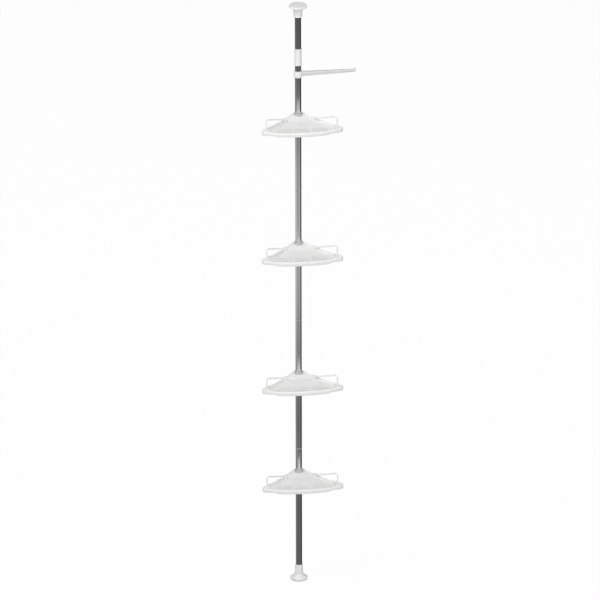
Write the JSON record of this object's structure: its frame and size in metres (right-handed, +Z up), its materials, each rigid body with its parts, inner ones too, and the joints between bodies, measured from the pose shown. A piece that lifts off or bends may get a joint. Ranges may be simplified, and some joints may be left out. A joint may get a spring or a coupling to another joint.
{
  "type": "tension pole shelf unit",
  "caption": "Spring-loaded chrome pole that jams between floor and ceiling and carries white plastic corner trays with side rails, and a towel arm; trays and arm slide and turn on the pole.",
  "frame": {"origin": "on the floor, at the middle of the bottom foot pad's face, on the pole's axis", "axes": "+Z up along the pole, -Y towards the front edge of the trays, +X along the towel arm"},
  "size_m": [0.391, 0.213, 2.4757],
  "materials": {
    "white_plastic": "moulded white polypropylene with a soft gloss",
    "chrome": "chromed steel tube",
    "pad_rubber": "pale grey soft rubber",
    "clip_plastic": "frosted plastic",
    "nylon": "plain nylon",
    "steel": "bare steel"
  },
  "bodies": {
    "pole": {"bottom_foot": "white_plastic", "bottom_foot_pad": "pad_rubber", "pole_tube_1": "chrome", "pole_tube_2": "chrome", "pole_tube_3": "chrome", "pole_tube_4": "chrome", "tube_coupler_1": "nylon", "tube_coupler_2": "nylon", "tube_coupler_3": "nylon", "guide_rod": "steel", "guide_rod_rivet": "steel", "tension_spring": "steel", "tension_sleeve": "white_plastic"},
    "upper_pole": {"upper_tube": "chrome", "stop_pin": "steel", "spring_plug": "nylon", "top_foot": "white_plastic", "top_foot_pad": "pad_rubber"},
    "tray_1_clip": {"tray_1_clip_left": "clip_plastic", "tray_1_clip_right": "clip_plastic"},
    "tray_1": {"tray_1": "white_plastic", "tray_1_rail_left": "white_plastic", "tray_1_rail_right": "white_plastic"},
    "tray_2_clip": {"tray_2_clip_left": "clip_plastic", "tray_2_clip_right": "clip_plastic"},
    "tray_2": {"tray_2": "white_plastic", "tray_2_rail_left": "white_plastic", "tray_2_rail_right": "white_plastic"},
    "tray_3_clip": {"tray_3_clip_left": "clip_plastic", "tray_3_clip_right": "clip_plastic"},
    "tray_3": {"tray_3": "white_plastic", "tray_3_rail_left": "white_plastic", "tray_3_rail_right": "white_plastic"},
    "tray_4_clip": {"tray_4_clip_left": "clip_plastic", "tray_4_clip_right": "clip_plastic"},
    "tray_4": {"tray_4": "white_plastic", "tray_4_rail_left": "white_plastic", "tray_4_rail_right": "white_plastic"},
    "towel_arm_clip": {"towel_arm_clip_left": "clip_plastic", "towel_arm_clip_right": "clip_plastic"},
    "towel_arm": {"towel_arm": "white_plastic"}
  },
  "joints": [
    {"name": "top_slide", "type": "slide", "parent": "pole", "child": "upper_pole", "axis": [0, 0, 1], "range_m": [-0.03, 0], "stiffness_N_per_m": 5200, "springref_m": 0.015, "deforming": ["tension_spring"]},
    {"name": "tray_1_height", "type": "slide", "parent": "pole", "child": "tray_1_clip", "axis": [0, 0, 1], "range_m": [-0.35, 0.17]},
    {"name": "tray_1_turn", "type": "hinge", "parent": "tray_1_clip", "child": "tray_1", "pos_m": [0, 0, 0.4575], "axis": [0, 0, 1], "continuous": true},
    {"name": "tray_2_height", "type": "slide", "parent": "pole", "child": "tray_2_clip", "axis": [0, 0, 1], "range_m": [-0.17, 0.235]},
    {"name": "tray_2_turn", "type": "hinge", "parent": "tray_2_clip", "child": "tray_2", "pos_m": [0, 0, 0.8823], "axis": [0, 0, 1], "continuous": true},
    {"name": "tray_3_height", "type": "slide", "parent": "pole", "child": "tray_3_clip", "axis": [0, 0, 1], "range_m": [-0.235, 0.235]},
    {"name": "tray_3_turn", "type": "hinge", "parent": "tray_3_clip", "child": "tray_3", "pos_m": [0, 0, 1.4405], "axis": [0, 0, 1], "continuous": true},
    {"name": "tray_4_height", "type": "slide", "parent": "pole", "child": "tray_4_clip", "axis": [0, 0, 1], "range_m": [-0.235, 0.06]},
    {"name": "tray_4_turn", "type": "hinge", "parent": "tray_4_clip", "child": "tray_4", "pos_m": [0, 0, 1.9944], "axis": [0, 0, 1], "continuous": true},
    {"name": "towel_arm_height", "type": "slide", "parent": "pole", "child": "towel_arm_clip", "axis": [0, 0, 1], "range_m": [-0.055, 0.02]},
    {"name": "towel_arm_turn", "type": "hinge", "parent": "towel_arm_clip", "child": "towel_arm", "pos_m": [0, 0, 2.18], "axis": [0, 0, 1], "continuous": true}
  ]
}
